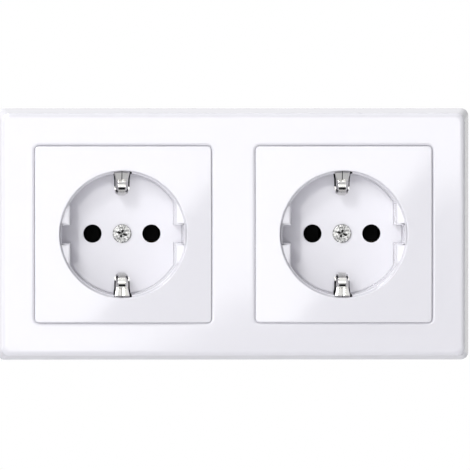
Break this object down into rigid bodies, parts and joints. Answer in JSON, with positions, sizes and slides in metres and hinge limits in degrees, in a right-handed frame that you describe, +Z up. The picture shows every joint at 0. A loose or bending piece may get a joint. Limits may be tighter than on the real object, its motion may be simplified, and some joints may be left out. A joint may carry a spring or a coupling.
{
  "type": "earthed wall socket outlet",
  "caption": "Earthed wall socket outlet: round plug wells with sprung earth clips side by side in one white cover frame, with contact bases, push-in terminals and claws behind.",
  "frame": {"origin": "on the wall plane, midway between the two plug wells", "axes": "+X to the right along the row of sockets, +Y into the wall, +Z up; the front faces -Y"},
  "size_m": [0.152, 0.0404, 0.081],
  "materials": {
    "gloss_white_moulding": "polished moulding",
    "black_moulding": "fine eroded moulding",
    "zinc_plated_sheet": "bright zinc plating on punched sheet",
    "zinc_plated_screw": "bright zinc plating on a rolled screw",
    "nickel_plated_strip": "bright nickel plating on pressed strip",
    "nickel_plated_screw": "bright nickel plating on a headed screw",
    "brass_strip": "rolled strip",
    "spring_steel": "rolled stainless strip",
    "grey_button": "plain moulding"
  },
  "bodies": {
    "outlet": {"cover_frame": "gloss_white_moulding", "left_cover_plate": "gloss_white_moulding", "left_centre_screw": "nickel_plated_screw", "left_support_ring": "zinc_plated_sheet", "left_base_collar": "black_moulding", "left_contact_base": "black_moulding", "left_rear_cover": "black_moulding", "left_earth_bracket": "nickel_plated_strip", "left_line_contact": "brass_strip", "left_neutral_contact": "brass_strip", "left_line_clamp_spring": "spring_steel", "left_neutral_clamp_spring": "spring_steel", "left_earth_clamp_spring": "spring_steel", "right_cover_plate": "gloss_white_moulding", "right_centre_screw": "nickel_plated_screw", "right_support_ring": "zinc_plated_sheet", "right_base_collar": "black_moulding", "right_contact_base": "black_moulding", "right_rear_cover": "black_moulding", "right_earth_bracket": "nickel_plated_strip", "right_line_contact": "brass_strip", "right_neutral_contact": "brass_strip", "right_line_clamp_spring": "spring_steel", "right_neutral_clamp_spring": "spring_steel", "right_earth_clamp_spring": "spring_steel"},
    "left_upper_claw": {"left_upper_claw": "zinc_plated_sheet"},
    "left_upper_claw_screw": {"left_upper_claw_screw": "zinc_plated_screw"},
    "left_lower_claw": {"left_lower_claw": "zinc_plated_sheet"},
    "left_lower_claw_screw": {"left_lower_claw_screw": "zinc_plated_screw"},
    "left_line_release_button": {"left_line_release_button": "grey_button"},
    "left_neutral_release_button": {"left_neutral_release_button": "grey_button"},
    "left_earth_release_button": {"left_earth_release_button": "grey_button"},
    "right_upper_claw": {"right_upper_claw": "zinc_plated_sheet"},
    "right_upper_claw_screw": {"right_upper_claw_screw": "zinc_plated_screw"},
    "right_lower_claw": {"right_lower_claw": "zinc_plated_sheet"},
    "right_lower_claw_screw": {"right_lower_claw_screw": "zinc_plated_screw"},
    "right_line_release_button": {"right_line_release_button": "grey_button"},
    "right_neutral_release_button": {"right_neutral_release_button": "grey_button"},
    "right_earth_release_button": {"right_earth_release_button": "grey_button"}
  },
  "joints": [
    {"name": "left_upper_claw_swing", "type": "hinge", "parent": "outlet", "child": "left_upper_claw", "pos_m": [-0.01878, -0.001, 0.01672], "axis": [0.7071, 0, -0.7071], "range_deg": [0, 20]},
    {"name": "left_upper_claw_screw_turn", "type": "hinge", "parent": "left_upper_claw", "child": "left_upper_claw_screw", "pos_m": [-0.01694, -0.001, 0.01856], "axis": [0, 1, 0], "range_deg": [0, 1620]},
    {"name": "left_lower_claw_swing", "type": "hinge", "parent": "outlet", "child": "left_lower_claw", "pos_m": [-0.05222, -0.001, -0.01672], "axis": [-0.7071, 0, 0.7071], "range_deg": [0, 20]},
    {"name": "left_lower_claw_screw_turn", "type": "hinge", "parent": "left_lower_claw", "child": "left_lower_claw_screw", "pos_m": [-0.05406, -0.001, -0.01856], "axis": [0, 1, 0], "range_deg": [0, 1620]},
    {"name": "left_line_release_button_push", "type": "slide", "parent": "outlet", "child": "left_line_release_button", "axis": [0, -1, 0], "range_m": [0, 0.0016], "stiffness_N_per_m": 500},
    {"name": "left_neutral_release_button_push", "type": "slide", "parent": "outlet", "child": "left_neutral_release_button", "axis": [0, -1, 0], "range_m": [0, 0.0016], "stiffness_N_per_m": 500},
    {"name": "left_earth_release_button_push", "type": "slide", "parent": "outlet", "child": "left_earth_release_button", "axis": [0, -1, 0], "range_m": [0, 0.0016], "stiffness_N_per_m": 500},
    {"name": "right_upper_claw_swing", "type": "hinge", "parent": "outlet", "child": "right_upper_claw", "pos_m": [0.05222, -0.001, 0.01672], "axis": [0.7071, 0, -0.7071], "range_deg": [0, 20]},
    {"name": "right_upper_claw_screw_turn", "type": "hinge", "parent": "right_upper_claw", "child": "right_upper_claw_screw", "pos_m": [0.05406, -0.001, 0.01856], "axis": [0, 1, 0], "range_deg": [0, 1620]},
    {"name": "right_lower_claw_swing", "type": "hinge", "parent": "outlet", "child": "right_lower_claw", "pos_m": [0.01878, -0.001, -0.01672], "axis": [-0.7071, 0, 0.7071], "range_deg": [0, 20]},
    {"name": "right_lower_claw_screw_turn", "type": "hinge", "parent": "right_lower_claw", "child": "right_lower_claw_screw", "pos_m": [0.01694, -0.001, -0.01856], "axis": [0, 1, 0], "range_deg": [0, 1620]},
    {"name": "right_line_release_button_push", "type": "slide", "parent": "outlet", "child": "right_line_release_button", "axis": [0, -1, 0], "range_m": [0, 0.0016], "stiffness_N_per_m": 500},
    {"name": "right_neutral_release_button_push", "type": "slide", "parent": "outlet", "child": "right_neutral_release_button", "axis": [0, -1, 0], "range_m": [0, 0.0016], "stiffness_N_per_m": 500},
    {"name": "right_earth_release_button_push", "type": "slide", "parent": "outlet", "child": "right_earth_release_button", "axis": [0, -1, 0], "range_m": [0, 0.0016], "stiffness_N_per_m": 500}
  ],
  "couplings": [
    {"joint": "left_upper_claw_swing", "follows": "left_upper_claw_screw_turn", "ratio": 0.012346},
    {"joint": "left_lower_claw_swing", "follows": "left_lower_claw_screw_turn", "ratio": 0.012346},
    {"joint": "right_upper_claw_swing", "follows": "right_upper_claw_screw_turn", "ratio": 0.012346},
    {"joint": "right_lower_claw_swing", "follows": "right_lower_claw_screw_turn", "ratio": 0.012346}
  ]
}
